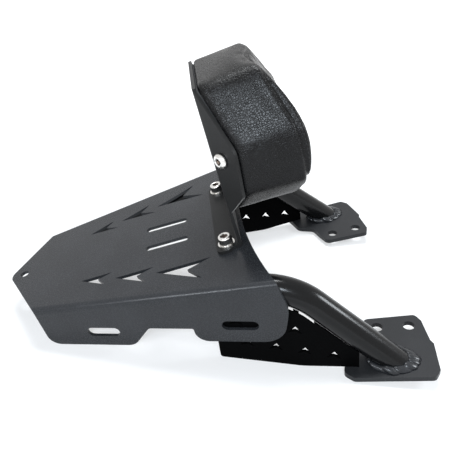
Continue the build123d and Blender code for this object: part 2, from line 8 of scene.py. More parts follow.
import logging
import math
from dataclasses import dataclass, field
from enum import Enum, IntEnum

import bpy
import numpy as np
from mathutils import Matrix, Vector
from mathutils.bvhtree import BVHTree


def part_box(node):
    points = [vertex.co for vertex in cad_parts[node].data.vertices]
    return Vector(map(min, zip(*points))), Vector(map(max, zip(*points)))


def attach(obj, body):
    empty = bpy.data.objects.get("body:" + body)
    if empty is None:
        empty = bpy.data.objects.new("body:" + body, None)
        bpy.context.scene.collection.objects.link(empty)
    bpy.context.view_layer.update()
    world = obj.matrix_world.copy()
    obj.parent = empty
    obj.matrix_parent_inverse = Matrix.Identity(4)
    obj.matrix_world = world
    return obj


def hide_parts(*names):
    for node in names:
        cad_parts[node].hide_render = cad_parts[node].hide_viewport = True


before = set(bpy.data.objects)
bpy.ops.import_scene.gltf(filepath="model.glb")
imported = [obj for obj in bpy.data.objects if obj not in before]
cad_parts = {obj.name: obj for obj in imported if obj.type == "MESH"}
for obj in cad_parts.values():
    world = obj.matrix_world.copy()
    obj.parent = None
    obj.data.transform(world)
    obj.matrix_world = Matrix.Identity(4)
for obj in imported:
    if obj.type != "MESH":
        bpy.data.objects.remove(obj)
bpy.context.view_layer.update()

log = logging.getLogger("luggage_rack")
MM = 0.001
BODY = "root"
# Slope of the deck in degrees, rising towards the front
DECK_PITCH = 8.17

Colour = tuple[float, float, float]
Socket = bpy.types.NodeSocket
WHITE: Colour = (1.0, 1.0, 1.0)
# The range in which most values of a noise lie
NOISE_RANGE = (0.3, 0.7)


class Side(Enum):
    """The two sides of the motorcycle, with the sign of their Y."""

    LEFT = 1
    RIGHT = -1

    @property
    def word(self) -> str:
        """Give the word that starts this side's piece names."""
        return self.name.lower()


class Texture(Enum):
    """The procedural textures that the finishes use."""

    NOISE = "ShaderNodeTexNoise"
    CELLS = "ShaderNodeTexVoronoi"


# ---------------------------------------------------------------- shading


class Shading:
    """The node tree of one material, built a node at a time."""

    def __init__(self, name: str) -> None:
        """Start an empty material.

        Args:
            name: The material's name.
        """
        self.material = bpy.data.materials.new(name)
        self.material.use_nodes = True
        self.tree = self.material.node_tree
        self.tree.nodes.clear()
        output = self.tree.nodes.new("ShaderNodeOutputMaterial")
        self.surface = self.tree.nodes.new("ShaderNodeBsdfPrincipled")
        self.join(self.surface.outputs["BSDF"], output.inputs["Surface"])
        self.place = self.tree.nodes.new("ShaderNodeTexCoord").outputs["Object"]

    def join(self, start: Socket, end: Socket) -> None:
        """Link two sockets."""
        self.tree.links.new(start, end)

    def set(self, **values: object) -> None:
        """Set constant values on the surface shader.

        Args:
            **values: Socket names with underscores for spaces, and their values.
        """
        for key, value in values.items():
            self.surface.inputs[key.replace("_", " ")].default_value = value

    def texture(
        self, kind: Texture, grain: float, detail: float = 1.0, place: Socket | None = None
    ) -> Socket:
        """Add a texture on Object coordinates.

        Args:
            kind: Which texture.
            grain: Size of one feature in metres.
            detail: Octaves of a noise.
            place: Vector socket to read in place of the plain coordinates.

        Returns:
            The noise's value, or the distance to the edge of a cell.
        """
        node = self.tree.nodes.new(kind.value)
        node.inputs["Scale"].default_value = 1.0 / grain
        self.join(place or self.place, node.inputs["Vector"])
        if kind is Texture.NOISE:
            node.inputs["Detail"].default_value = detail
            node.inputs["Roughness"].default_value = 0.55
            return node.outputs["Fac"]
        node.feature = "DISTANCE_TO_EDGE"
        return node.outputs["Distance"]

    def warped(self, grain: float, reach: float) -> Socket:
        """Shift the Object coordinates by a noise.

        Args:
            grain: Size of one wave of the noise in metres.
            reach: How far it shifts a point at most, in metres.

        Returns:
            The shifted coordinates' socket.
        """
        noise = self.tree.nodes.new(Texture.NOISE.value)
        noise.inputs["Scale"].default_value = 1.0 / grain
        noise.inputs["Detail"].default_value = 1.0
        self.join(self.place, noise.inputs["Vector"])
        shift = self.tree.nodes.new("ShaderNodeVectorMath")
        shift.operation = "MULTIPLY_ADD"
        shift.inputs[1].default_value = (reach,) * 3
        self.join(noise.outputs["Color"], shift.inputs[0])
        self.join(self.place, shift.inputs[2])
        return shift.outputs["Vector"]

    def spread(
        self, value: Socket, low: float, high: float, to_low: float, to_high: float
    ) -> Socket:
        """Map one range of a value to another, clamped.

        Args:
            value: Socket to read.
            low: Start of the range that is read.
            high: End of the range that is read.
            to_low: What the start becomes.
            to_high: What the end becomes.

        Returns:
            The mapped value's socket.
        """
        node = self.tree.nodes.new("ShaderNodeMapRange")
        node.interpolation_type = "SMOOTHSTEP"
        for name, number in (
            ("From Min", low),
            ("From Max", high),
            ("To Min", to_low),
            ("To Max", to_high),
        ):
            node.inputs[name].default_value = number
        self.join(value, node.inputs["Value"])
        return node.outputs["Result"]

    def combine(self, operation: str, first: Socket, second: Socket | float) -> Socket:
        """Combine two values.

        Args:
            operation: Name of the operation, such as MULTIPLY.
            first: First value.
            second: Second value, a socket or a number.

        Returns:
            The result's socket.
        """
        node = self.tree.nodes.new("ShaderNodeMath")
        node.operation = operation
        self.join(first, node.inputs[0])
        if isinstance(second, float):
            node.inputs[1].default_value = second
        else:
            self.join(second, node.inputs[1])
        return node.outputs[0]

    def blend(self, share: Socket, first: Colour, second: Colour) -> Socket:
        """Mix two colours.

        Args:
            share: How much of the second colour shows.
            first: First colour.
            second: Second colour.

        Returns:
            The mixed colour's socket.
        """
        node = self.tree.nodes.new("ShaderNodeMix")
        node.data_type = "RGBA"
        self.join(share, node.inputs["Factor"])
        for name, colour in (("A", first), ("B", second)):
            socket = [s for s in node.inputs if s.name == name and s.type == "RGBA"][0]
            socket.default_value = (*colour, 1.0)
        return [s for s in node.outputs if s.type == "RGBA"][0]

    def colour(self, socket: Socket) -> None:
        """Use a socket as the base colour."""
        self.join(socket, self.surface.inputs["Base Color"])

    def roughness(self, socket: Socket) -> None:
        """Use a socket as the roughness."""
        self.join(socket, self.surface.inputs["Roughness"])

    def relief(self, height: Socket, depth: float, strength: float) -> None:
        """Raise the surface by a height map.

        Args:
            height: Socket from 0 to 1.
            depth: Depth of the relief in metres.
            strength: Strength of the effect on the normal.
        """
        node = self.tree.nodes.new("ShaderNodeBump")
        node.inputs["Distance"].default_value = depth
        node.inputs["Strength"].default_value = strength
        self.join(height, node.inputs["Height"])
        self.join(node.outputs["Normal"], self.surface.inputs["Normal"])


@dataclass(frozen=True)
class PowderCoat:
    """A baked black coat with a fine pebbled skin and lighter specks.

    The pebbles raise the skin and shine more than the dips between them. The lighter specks,
    a little over half their size, are partly the coat's mottling and partly painted sparkle:
    glints put into the colour. Broad clouds lighten the coat here and there.
    """

    name: str
    dark: Colour
    light: Colour
    rough: float
    gloss: float
    pebble: float = 1.1 * MM
    depth: float = 0.05 * MM
    speck: float = 0.6
    speck_share: float = 0.55
    cloud: float = 34 * MM
    cloudy: float = 0.12
    uneven: float = 0.06

    def material(self) -> bpy.types.Material:
        """Build the coat's material."""
        shade = Shading(self.name)
        pebbles = shade.texture(Texture.NOISE, self.pebble, detail=3.0)
        specks = shade.texture(Texture.NOISE, self.speck_share * self.pebble)
        clouds = shade.texture(Texture.NOISE, self.cloud, detail=2.0)
        # Lighter specks: the coat's mottling, with painted sparkle glints in the colour
        mottle_and_glints = shade.combine(
            "MULTIPLY", shade.spread(specks, 0.48, 0.72, 0.0, 1.0), self.speck
        )
        tone = shade.combine("ADD", shade.spread(clouds, *NOISE_RANGE, 0.0, self.cloudy), mottle_and_glints)
        shade.colour(shade.blend(tone, self.dark, self.light))
        rougher, smoother = self.rough + self.uneven, self.rough - self.uneven
        shade.roughness(shade.spread(pebbles, *NOISE_RANGE, rougher, smoother))
        shade.relief(pebbles, self.depth, 0.6)
        shade.set(Specular_IOR_Level=self.gloss)
        return shade.material


@dataclass(frozen=True)
class BareMetal:
    """Turned or rolled bare metal with a faint haze and fine brushed lines."""

    name: str
    tint: Colour
    stain: Colour
    rough: float
    haze: float = 1.3 * MM
    line: float = 0.25 * MM
    depth: float = 0.01 * MM

    def material(self) -> bpy.types.Material:
        """Build the metal's material."""
        shade = Shading(self.name)
        haze = shade.texture(Texture.NOISE, self.haze, detail=3.0)
        lines = shade.texture(Texture.NOISE, self.line)
        shade.colour(shade.blend(shade.spread(haze, 0.4, 0.75, 0.0, 1.0), self.tint, self.stain))
        shade.roughness(shade.spread(lines, *NOISE_RANGE, self.rough - 0.05, self.rough + 0.09))
        shade.relief(lines, self.depth, 0.4)
        shade.set(Metallic=1.0)
        return shade.material


@dataclass(frozen=True)
class GrainedCover:
    """A pebble-grained black cover, creased between the pebbles, with painted shade in the creases.

    The pebbles are the cells of a warped pattern, with smaller pores on them. The sizes of the
    pores and of the warp are shares of a pebble, and the crease is a share of its cell.
    """

    name: str
    dark: Colour = (0.002, 0.002, 0.0021)
    worn: Colour = (0.006, 0.006, 0.0065)
    pebble: float = 1.9 * MM
    depth: float = 0.11 * MM
    rough: float = 0.24
    gloss: float = 0.20
    crease: float = 0.16
    crease_rough: float = 0.15
    pore_share: float = 0.45
    pore_crease: float = 0.2
    pore_height: float = 0.2
    warp_grain: float = 2.6
    warp_reach: float = 1.6
    cloud: float = 26 * MM
    least_worn: float = 0.35

    def material(self) -> bpy.types.Material:
        """Build the cover's material."""
        shade = Shading(self.name)
        warped = shade.warped(self.warp_grain * self.pebble, self.warp_reach * self.pebble)
        edges = shade.texture(Texture.CELLS, self.pebble, place=warped)
        small = shade.texture(Texture.CELLS, self.pore_share * self.pebble, place=warped)
        clouds = shade.texture(Texture.NOISE, self.cloud, detail=2.0)
        domes = shade.spread(edges, 0.0, self.crease, 0.0, 1.0)
        pores = shade.spread(small, 0.0, self.pore_crease, 0.0, 1.0)
        height = shade.combine(
            "ADD", domes, shade.combine("MULTIPLY", pores, self.pore_height)
        )
        worn = shade.spread(clouds, *NOISE_RANGE, self.least_worn, 1.0)
        # Domes take the worn colour and creases the dark one: wear on the domes, painted shade in
        # the creases
        tone = shade.combine("MULTIPLY", domes, worn)
        shade.colour(shade.blend(tone, self.dark, self.worn))
        creased = self.rough + self.crease_rough
        shade.roughness(shade.spread(domes, 0.0, 1.0, creased, self.rough))
        shade.relief(height, self.depth, 0.8)
        shade.set(Specular_IOR_Level=self.gloss)
        return shade.material


@dataclass(frozen=True)
class PlainStuff:
    """A plain matt stuff such as thread or a board's lining, with a fibre grain."""

    name: str
    dark: Colour
    light: Colour
    rough: float
    fibre: float
    depth: float = 0.08 * MM

    def material(self) -> bpy.types.Material:
        """Build the stuff's material."""
        shade = Shading(self.name)
        fibres = shade.texture(Texture.NOISE, self.fibre, detail=3.0)
        share = shade.spread(fibres, *NOISE_RANGE, 0.0, 1.0)
        shade.colour(shade.blend(share, self.dark, self.light))
        shade.roughness(shade.spread(fibres, *NOISE_RANGE, self.rough - 0.05, self.rough + 0.1))
        shade.relief(fibres, self.depth, 0.5)
        return shade.material


# ---------------------------------------------------------------- meshes


@dataclass
class Surface:
    """Points, faces and the faces' material indices of a surface, as whole arrays."""

    points: np.ndarray
    quads: np.ndarray
    paint: np.ndarray

    @staticmethod
    def grid(points: np.ndarray, wrap_rows: bool, wrap_columns: bool) -> "Surface":
        """Make a surface from a grid of points.

        The corner (i, j) joins (i + 1, j), (i + 1, j + 1) and (i, j + 1), and the last row or
        column joins the first where the grid wraps.

        Args:
            points: Grid of shape (rows, columns, 3).
            wrap_rows: Whether the last row joins the first.
            wrap_columns: Whether the last column joins the first.

        Returns:
            The surface, all in the first material.
        """
        rows, columns = points.shape[:2]
        number = np.arange(rows * columns).reshape(rows, columns)
        if wrap_rows:
            number = np.vstack([number, number[:1]])
        if wrap_columns:
            number = np.hstack([number, number[:, :1]])
        quads = np.stack(
            [number[:-1, :-1], number[1:, :-1], number[1:, 1:], number[:-1, 1:]], axis=-1
        ).reshape(-1, 4)
        return Surface(points.reshape(-1, 3), quads, np.zeros(len(quads), dtype=int))

    def joined(self, other: "Surface") -> "Surface":
        """Give this surface and another as one."""
        return Surface(
            np.vstack([self.points, other.points]),
            np.vstack([self.quads, other.quads + len(self.points)]),
            np.concatenate([self.paint, other.paint]),
        )

    def piece(self, name: str, materials: list[bpy.types.Material]) -> bpy.types.Object:
        """Make a mesh object from the surface, with its place in its mesh.

        Args:
            name: Name of the piece.
            materials: Its materials, in the order of the paint indices.

        Returns:
            The new object.
        """
        mesh = bpy.data.meshes.new(name)
        mesh.from_pydata(self.points.tolist(), [], self.quads.tolist())
        mesh.polygons.foreach_set("material_index", self.paint.astype(np.int32))
        mesh.polygons.foreach_set("use_smooth", np.ones(len(self.quads), dtype=bool))
        for material in materials:
            mesh.materials.append(material)
        mesh.validate()
        mesh.update()
        return new_thing(name, mesh)


def new_thing(name: str, data: bpy.types.ID) -> bpy.types.Object:
    """Make an object from its data and link it to the scene.

    Args:
        name: Name of the object.
        data: Its mesh, lamp or camera.

    Returns:
        The new object.
    """
    thing = bpy.data.objects.new(name, data)
    bpy.context.scene.collection.objects.link(thing)
    return thing


def surface_tree(thing: bpy.types.Object) -> BVHTree:
    """Give a mesh object's facets as a tree that finds near points and where rays hit."""
    facets = [p.vertices for p in thing.data.polygons]
    return BVHTree.FromPolygons([v.co for v in thing.data.vertices], facets)


def mesh_points(thing: bpy.types.Object) -> np.ndarray:
    """Give the vertices of a mesh object.

    Args:
        thing: The mesh object.

    Returns:
        Their places, of shape (n, 3).
    """
    points = np.zeros(len(thing.data.vertices) * 3, np.float32)
    thing.data.vertices.foreach_get("co", points)
    return points.reshape(-1, 3).astype(float)


def set_points(thing: bpy.types.Object, points: np.ndarray) -> None:
    """Move the vertices of a mesh object to the points, of shape (n, 3)."""
    thing.data.vertices.foreach_set("co", points.astype(np.float32).ravel())
    thing.data.update()


def mesh_normals(thing: bpy.types.Object) -> np.ndarray:
    """Give the vertex normals of a mesh object.

    Args:
        thing: The mesh object.

    Returns:
        The normals, of shape (n, 3).
    """
    normals = np.zeros(len(thing.data.vertices) * 3, np.float32)
    thing.data.vertex_normals.foreach_get("vector", normals)
    return normals.reshape(-1, 3).astype(float)


def dress(node: str, material: bpy.types.Material) -> None:
    """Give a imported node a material.

    Args:
        node: Name of the node.
        material: Its new and only material.
    """
    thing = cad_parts[node]
    thing.data.materials.clear()
    thing.data.materials.append(material)


def along_deck(turn: float) -> np.ndarray:
    """Give the deck's forward direction turned upwards by this many degrees."""
    angle = math.radians(DECK_PITCH + turn)
    return np.array([math.cos(angle), 0.0, math.sin(angle)])


def frame_on_axis(axis: np.ndarray) -> np.ndarray:
    """Give a rotation whose third column is the axis.

    The first column is the level direction square to the axis, or +X for an upright axis, and
    the second completes them.

    Args:
        axis: The axis, of any length.

    Returns:
        The rotation, of shape (3, 3).
    """
    axis = axis / np.linalg.norm(axis)
    level = np.cross([0.0, 0.0, 1.0], axis)
    if np.linalg.norm(level) < 1e-6:
        level = np.array([1.0, 0.0, 0.0])
    level = level / np.linalg.norm(level)
    return np.stack([level, np.cross(axis, level), axis], axis=1)


def even_steps(points: np.ndarray, step: float) -> np.ndarray:
    """Give points at even steps along a closed line.

    The running length along the corners is interpolated at even values.

    Args:
        points: Corners of the line, of shape (n, 3).
        step: Wanted distance between points.

    Returns:
        The points, of shape (m, 3), without the repeated last one.
    """
    closed = np.vstack([points, points[:1]])
    run = np.concatenate([[0.0], np.cumsum(np.linalg.norm(np.diff(closed, axis=0), axis=1))])
    count = max(8, int(round(run[-1] / step)))
    at = np.linspace(0.0, run[-1], count, endpoint=False)
    return np.stack([np.interp(at, run, closed[:, k]) for k in range(3)], axis=1)


# ---------------------------------------------------------------- the rack


@dataclass
class Rack:
    """The folded deck, the arms, the gussets and the feet, all powder coated.

    The arms and the gussets take much darker copies of the coat: painted shade.
    """

    deck_coat: PowderCoat = PowderCoat(
        "deck_coat", (0.018, 0.019, 0.021), (0.056, 0.059, 0.065), 0.26, gloss=0.26, depth=0.03 * MM
    )
    # A much darker copy of the coat for the arm tubes: painted shade on their sides
    arm_coat: PowderCoat = PowderCoat(
        "arm_coat",
        (0.003, 0.0031, 0.0034),
        (0.010, 0.0102, 0.011),
        0.20,
        gloss=0.22,
        depth=0.03 * MM,
        speck=0.3,
    )
    # A far darker, duller copy of the coat for the gussets: painted shade under the flanges and
    # tubes
    shaded_plate_coat: PowderCoat = PowderCoat(
        "shaded_plate_coat", (0.0016, 0.0016, 0.0017), (0.005, 0.005, 0.0052), 0.52, gloss=0.01, speck=0.3
    )
    foot_coat: PowderCoat = PowderCoat(
        "foot_coat", (0.018, 0.0185, 0.020), (0.044, 0.045, 0.048), 0.42, gloss=0.22, speck=0.3
    )

    def build(self) -> None:
        """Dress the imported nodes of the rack."""
        arm, plate, foot = (c.material() for c in (self.arm_coat, self.shaded_plate_coat, self.foot_coat))
        dress("rack_deck", self.deck_coat.material())
        for side in Side:
            dress(f"{side.word}_arm_tube", arm)
            dress(f"{side.word}_gusset", plate)
            dress(f"{side.word}_foot_plate", foot)
        log.info("rack: deck, arms, gussets and feet dressed")


@dataclass
class FootWelds:
    """The lumpy weld beads where the arm tubes meet the feet.

    The splay is the angle in degrees by which the tubes' lower ends turn outwards. A bead may
    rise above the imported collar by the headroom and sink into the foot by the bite. Its size
    goes from the valley's share of the reach and height, between two lumps, up by the crest.
    """

    coat: PowderCoat = PowderCoat(
        "bead_coat", (0.014, 0.015, 0.017), (0.050, 0.054, 0.062), 0.24, gloss=0.35, speck=0.2
    )
    tube_radius: float = 12.7 * MM
    foot_top: float = 5.0 * MM
    reach: float = 5.6 * MM
    height: float = 5.6 * MM
    sink: float = 0.8 * MM
    bite: float = 0.3 * MM
    headroom: float = 1.0 * MM
    end_slice: float = 0.2 * MM
    splay: float = 13.66
    valley: float = 0.72
    crest: float = 0.30
    lumps: int = 13
    around: int = 340
    across: int = 20

    def bead(self, centre: np.ndarray, heading: np.ndarray, slope: float) -> Surface:
        """Make one bead as a ring with a lumpy skin.

        The ring follows the ellipse that the slanted tube cuts in the foot's face. At the angle
        u round that ellipse and v round the bead, it reaches outwards by reach times the cosine
        of v and upwards by height times the sine of v, and leans with the tube. Both are scaled
        by a row of round lumps, whose steps drift and whose size wavers by sine waves of u. The
        bead closes by the sink inside the tube and the foot.

        Args:
            centre: Where the tube's axis meets the foot's face.
            heading: Level direction in which the tube comes down.
            slope: Slope of the tube against the foot, in radians.

        Returns:
            The bead's surface.
        """
        u = np.linspace(0.0, 2 * math.pi, self.around, endpoint=False)[:, None]
        v = np.linspace(0.0, 2 * math.pi, self.across, endpoint=False)[None, :]
        long_half = self.tube_radius / math.sin(slope)
        across = np.array([-heading[1], heading[0], 0.0])
        ring = (
            long_half * np.cos(u)[..., None] * heading
            + self.tube_radius * np.sin(u)[..., None] * across
        )
        outward = (
            self.tube_radius * np.cos(u)[..., None] * heading
            + long_half * np.sin(u)[..., None] * across
        )
        outward = outward / np.linalg.norm(outward, axis=-1, keepdims=True)
        drift = u + 0.16 * np.sin(2 * u + 0.5) + 0.09 * np.sin(5 * u + 1.1)
        scallop = np.sqrt(np.abs(np.sin(0.5 * self.lumps * drift + 0.5 * np.sin(v))) + 0.01)
        waver = 0.09 * np.sin(3 * u + 1.3) + 0.06 * np.sin(7 * u + 0.4)
        size = self.valley + self.crest * scallop + waver
        out = np.where(np.cos(v) > 0, self.reach * size * np.cos(v), self.sink * np.cos(v))
        rise = np.where(np.sin(v) > 0, self.height * size * np.sin(v), self.sink * np.sin(v))
        lean = -rise / math.tan(slope)
        lean = np.where(rise > 0, lean, 0.0)
        points = (
            centre
            + ring
            + out[..., None] * outward
            + lean[..., None] * heading
            + rise[..., None] * np.array([0.0, 0.0, 1.0])
        )
        return Surface.grid(points, wrap_rows=True, wrap_columns=True)

    def build(self) -> None:
        """Lay a bead on each foot in place of its plain collar."""
        coat = self.coat.material()
        for side in Side:
            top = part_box(f"{side.word}_foot_weld")[1][2] + self.headroom
            tube = mesh_points(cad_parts[f"{side.word}_arm_tube"])
            end = tube[tube[:, 2] < self.foot_top + self.end_slice]
            centre = (end.min(axis=0) + end.max(axis=0)) / 2
            centre[2] = self.foot_top
            half = (end.max(axis=0) - end.min(axis=0)) / 2
            turn = math.radians(self.splay) * side.value
            heading = np.array([math.cos(turn), math.sin(turn), 0.0])
            # The ellipse's half size along X gives its long half, and that gives the slope
            across = self.tube_radius * math.sin(turn)
            long_half = math.sqrt(half[0] ** 2 - across**2) / math.cos(turn)
            slope = math.asin(min(0.99, self.tube_radius / long_half))
            bead = self.bead(centre, heading, slope)
            bead.points[:, 2] = np.clip(bead.points[:, 2], self.foot_top - self.bite, top)
            piece = bead.piece(f"{side.word}_weld_bead", [coat])
            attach(piece, BODY)
            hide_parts(f"{side.word}_foot_weld")
            log.info("%s: bead round %.1f mm", piece.name, 2 * long_half / MM)


# ---------------------------------------------------------------- fasteners


class Paint(IntEnum):
    """The three looks of a screw's faces, in the order of its materials: the bright steel, and
    darker copies of it as painted shade on the knurled rim and in the socket.
    """

    BRIGHT = 0
    RIM = 1
    SOCKET = 2


@dataclass(frozen=True)
class HeadShape:
    """The shape of a screw's head: a knurled cylinder or a dome, with a hexagon socket."""

    radius: float
    height: float
    socket_flats: float
    socket_depth: float
    knurls: int = 36
    knurl_depth: float = 0.22 * MM
    domed: bool = False

    def rings(
        self, hexagon: np.ndarray, knurl: np.ndarray
    ) -> list[tuple[np.ndarray, float, Paint]]:
        """Give the head's rings from the seat to the middle of the socket.

        Args:
            hexagon: Distance from the axis to the socket's sides at each angle.
            knurl: Depth of the knurl at each angle.

        Returns:
            The radius, the level and the paint of each ring.
        """
        flat = np.ones_like(hexagon)
        r, h = self.radius, self.height
        if self.domed:
            turns = np.linspace(0.10, 0.92, 7) * math.pi / 2
            # The dome's edge at the seat takes the darker rim copy: painted shade under the dome
            side = [(flat * r - 0.1 * MM, 0.0, Paint.RIM), (flat * r, 0.4 * MM, Paint.RIM)]
            for turn in turns:
                ring = flat * (0.55 + 0.45 * math.cos(turn)) * r
                side.append((ring, h * (0.15 + 0.85 * math.sin(turn)), Paint.BRIGHT))
        else:
            side = [
                (r * flat - 0.5 * MM, 0.0, Paint.BRIGHT),
                (r * flat - 0.25 * MM, 0.3 * MM, Paint.BRIGHT),
                (r * flat - knurl, 0.8 * MM, Paint.RIM),
                (r * flat - knurl, 0.5 * h, Paint.RIM),
                (r * flat - knurl, h - 1.9 * MM, Paint.RIM),
                (r * flat - 0.12 * MM, h - 1.5 * MM, Paint.BRIGHT),
                (r * flat - 0.22 * MM, h - 1.0 * MM, Paint.BRIGHT),
                (r * flat - 0.60 * MM, h - 0.35 * MM, Paint.BRIGHT),
                (r * flat - 1.20 * MM, h, Paint.BRIGHT),
            ]
        return [
            (0 * flat, 0.0, Paint.BRIGHT),
            *side,
            (hexagon + 0.35 * MM, h, Paint.BRIGHT),
            (hexagon, h - 0.45 * MM, Paint.SOCKET),
            (hexagon, h - self.socket_depth, Paint.SOCKET),
            (0 * flat, h - self.socket_depth - 0.6 * MM, Paint.SOCKET),
        ]


@dataclass
class TurnedScrew:
    """A screw with a hexagon socket and a thread.

    The facets are those round the shank, and the steps are rows of them in one pitch. The
    thread starts below the head and has its full depth after the run-in.
    """

    node: str
    shape: HeadShape
    shank_radius: float = 4.0 * MM
    pitch: float = 1.25 * MM
    thread_depth: float = 0.55 * MM
    chamfer: float = 0.8 * MM
    thread_start: float = 1.0 * MM
    run_in: float = 2 * MM
    run_out: float = 0.5 * MM
    slack: float = 0.05 * MM
    facets: int = 36
    steps: int = 6

    def seat(self) -> tuple[np.ndarray, np.ndarray, float]:
        """Find the screw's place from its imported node.

        The principal direction of the node's corners is the axis. It points to the end where
        the corners lie furthest from it.

        Returns:
            The point under the head, the rotation onto the axis and the shank's length.
        """
        points = np.unique(np.round(mesh_points(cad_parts[self.node]), 6), axis=0)
        middle = (points.min(axis=0) + points.max(axis=0)) / 2
        axis = np.linalg.svd(points - points.mean(axis=0))[2][0]
        along = (points - middle) @ axis
        off = np.linalg.norm(points - middle - along[:, None] * axis, axis=1)
        if along[off > 0.9 * off.max()].mean() < along.mean():
            axis, along = -axis, -along
        ends = points[along > along.max() - self.slack].mean(axis=0)
        under = ends - axis * self.shape.height
        length = along.max() - along.min() - self.shape.height
        return under, frame_on_axis(axis), length

    def head(self) -> Surface:
        """Make the head as a turned profile.

        Each row is a ring of one radius and one height. The radius of a knurled rim is less by
        the knurl depth times the absolute sine of half the knurl count times the angle, and
        that of the socket is the distance to the sides of a hexagon at each angle.

        Returns:
            The head's surface, with each face in its paint.
        """
        shape = self.shape
        angle = np.linspace(0.0, 2 * math.pi, 6 * shape.knurls, endpoint=False)
        sixth = math.pi / 3
        hexagon = (shape.socket_flats / 2) / np.cos(np.mod(angle, sixth) - sixth / 2)
        rings = shape.rings(hexagon, shape.knurl_depth * np.abs(np.sin(shape.knurls * angle / 2)))
        radius = np.stack([ring[0] for ring in rings])
        level = np.array([ring[1] for ring in rings])[:, None] + 0 * radius
        points = np.stack([radius * np.cos(angle), radius * np.sin(angle), level], axis=-1)
        surface = Surface.grid(points, wrap_rows=False, wrap_columns=True)
        surface.paint = np.repeat([ring[2] for ring in rings[:-1]], len(angle))
        surface.quads = surface.quads[:, ::-1]
        return surface

    def shank(self, length: float) -> Surface:
        """Make the threaded shank.

        The radius at an angle and a depth is the outer radius less the thread depth times a
        triangle wave of the depth over the pitch plus the angle's share of a turn. The thread
        fades in over the run-in and out over the run-out, at the end of the chamfered tip.

        Args:
            length: Length under the head.

        Returns:
            The shank's surface.
        """
        angle = np.linspace(0.0, 2 * math.pi, self.facets, endpoint=False)[None, :]
        rows = int(round(length / self.pitch * self.steps))
        depth = np.linspace(0.0, length, rows)[:, None]
        turn = np.mod(depth / self.pitch + angle / (2 * math.pi), 1.0)
        wave = 1.0 - np.abs(2.0 * turn - 1.0)
        fade = np.clip((depth - self.thread_start) / self.run_in, 0.0, 1.0)
        fade = fade * np.clip((length - depth) / self.run_out, 0.0, 1.0)
        radius = self.shank_radius - self.thread_depth * wave * fade
        radius = radius - np.clip(depth - (length - self.chamfer), 0.0, None)
        points = np.stack(
            [radius * np.cos(angle), radius * np.sin(angle), -depth + 0 * angle], axis=-1
        )
        tip = np.repeat(np.array([[[0.0, 0.0, -length]]]), self.facets, axis=1)
        return Surface.grid(np.vstack([points, tip]), wrap_rows=False, wrap_columns=True)

    def build(self, paints: list[bpy.types.Material]) -> None:
        """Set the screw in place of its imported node.

        Args:
            paints: Materials in the order of Paint.
        """
        under, turn, length = self.seat()
        surface = self.head().joined(self.shank(length))
        surface.points = under + surface.points @ turn.T
        piece = surface.piece(f"{self.node}_turned", paints)
        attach(piece, BODY)
        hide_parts(self.node)
        log.info("%s: %.1f mm under the head", piece.name, length / MM)


@dataclass
class Fasteners:
    """All the screws, washers and nuts."""

    bright: BareMetal = BareMetal("bright_steel", (0.80, 0.79, 0.77), (0.62, 0.60, 0.57), 0.20)
    # A darker copy of the bright steel: painted shade on the knurled sides and a dome's seat edge
    rim: BareMetal = BareMetal("shaded_knurled_steel", (0.16, 0.16, 0.16), (0.10, 0.10, 0.10), 0.34)
    # A dark brownish copy of the steel for the socket: painted shade in the recess
    socket: BareMetal = BareMetal("shaded_socket_steel", (0.10, 0.075, 0.06), (0.05, 0.04, 0.035), 0.36)
    zinc: BareMetal = BareMetal("zinc_steel", (0.60, 0.61, 0.62), (0.45, 0.46, 0.47), 0.32)
    deck_head: HeadShape = HeadShape(6.5 * MM, 8.0 * MM, 6.0 * MM, 4.0 * MM)
    pad_head: HeadShape = HeadShape(7.0 * MM, 4.4 * MM, 5.0 * MM, 2.6 * MM, domed=True)

    def build(self) -> None:
        """Turn the four screws and dress what they hold."""
        paints = [f.material() for f in (self.bright, self.rim, self.socket)]
        zinc = self.zinc.material()
        for side in Side:
            TurnedScrew(f"{side.word}_deck_screw", self.deck_head).build(paints)
            TurnedScrew(f"{side.word}_pad_screw", self.pad_head).build(paints)
            dress(f"{side.word}_deck_washer", paints[Paint.BRIGHT])
            for name in ("under_washer", "deck_nut", "tee_nut"):
                dress(f"{side.word}_{name}", zinc)


# ---------------------------------------------------------------- backrest


@dataclass
class Backrest:
    """The folded bracket and the board inside the cushion."""

    coat: PowderCoat = PowderCoat(
        "bracket_coat", (0.012, 0.012, 0.012), (0.032, 0.032, 0.032), 0.40, gloss=0.17, speck=0.25
    )
    lining: PlainStuff = PlainStuff(
        "board_lining", (0.008, 0.008, 0.009), (0.022, 0.022, 0.023), 0.8, 0.9 * MM
    )

    def build(self) -> None:
        """Dress the bracket and the board."""
        dress("backrest_bracket", self.coat.material())
        dress("backrest_board", self.lining.material())
        log.info("backrest: bracket and board dressed")


